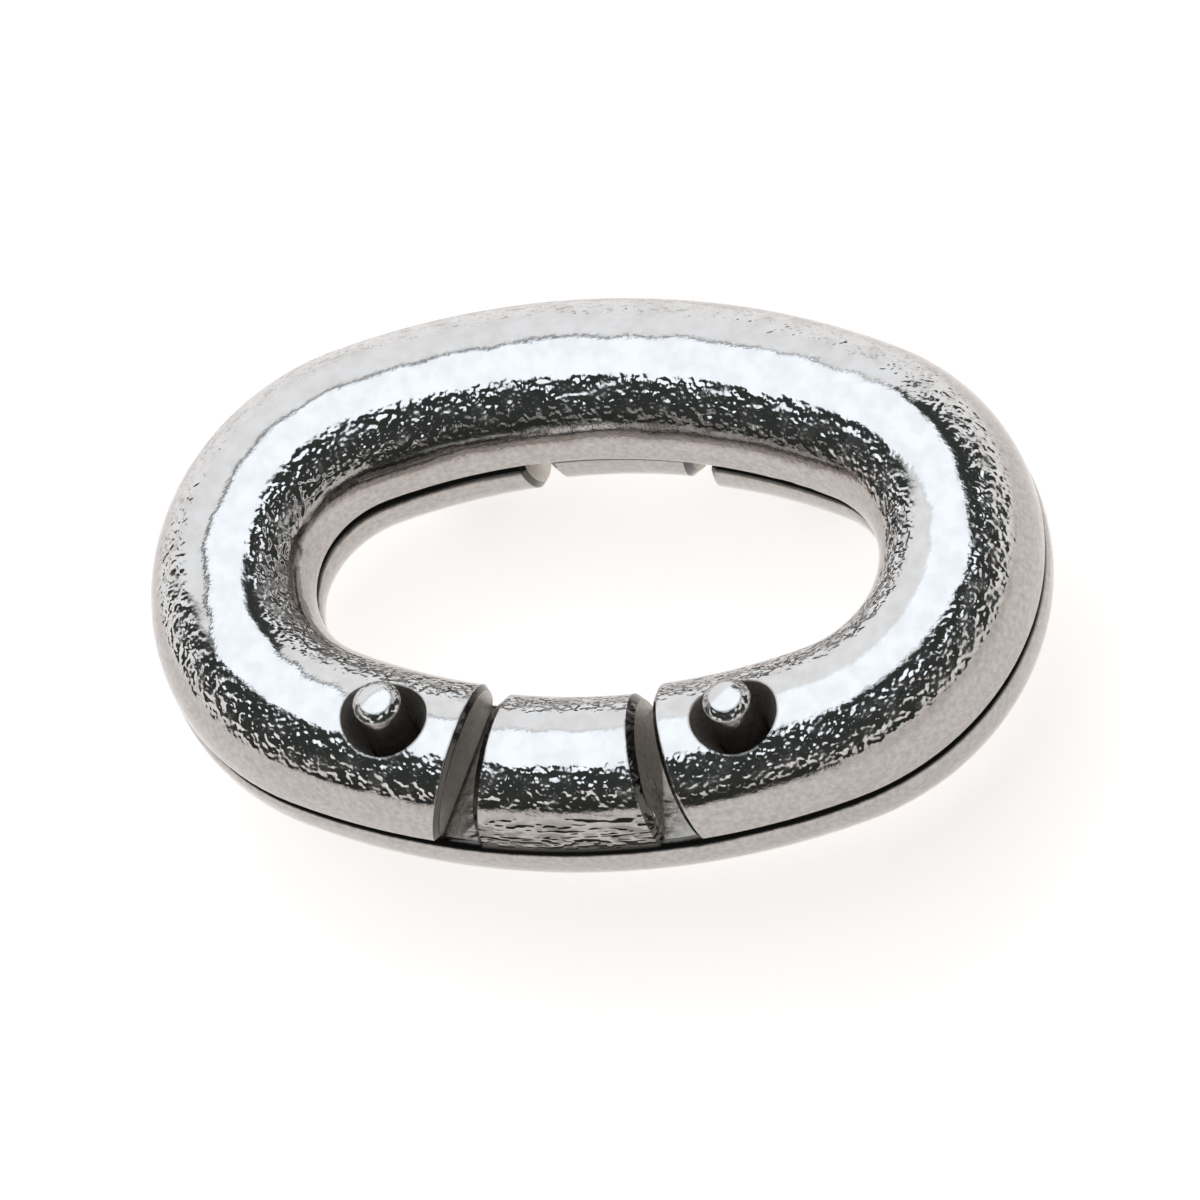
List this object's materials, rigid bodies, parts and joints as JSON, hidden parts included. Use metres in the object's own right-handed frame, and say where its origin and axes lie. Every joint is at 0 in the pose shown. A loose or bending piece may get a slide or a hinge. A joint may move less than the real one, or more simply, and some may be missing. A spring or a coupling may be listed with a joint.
{
  "type": "connecting link",
  "caption": "Split oval connecting link whose halves interlock with a block and rivet pins, used to join lengths of anchor chain.",
  "frame": {"origin": "Centre of the oval opening on the flat parting plane between the two halves, which is also the centre of the bounding box.", "axes": "+X runs along the link's long axis, +Y across it towards the side where the upper half's block closes the lower half's gap, and +Z is square to the parting plane, from the lower half to the upper half."},
  "size_m": [0.067, 0.0442, 0.0204],
  "materials": {
    "cast_stainless": "polished cast stainless steel with a faint orange-peel skin"
  },
  "bodies": {
    "lower": {"lower_half": "cast_stainless"},
    "upper": {"upper_half": "cast_stainless"}
  },
  "joints": [
    {"name": "halves_apart", "type": "slide", "parent": "lower", "child": "upper", "axis": [0, 0, 1], "range_m": [0, 0.009]}
  ]
}
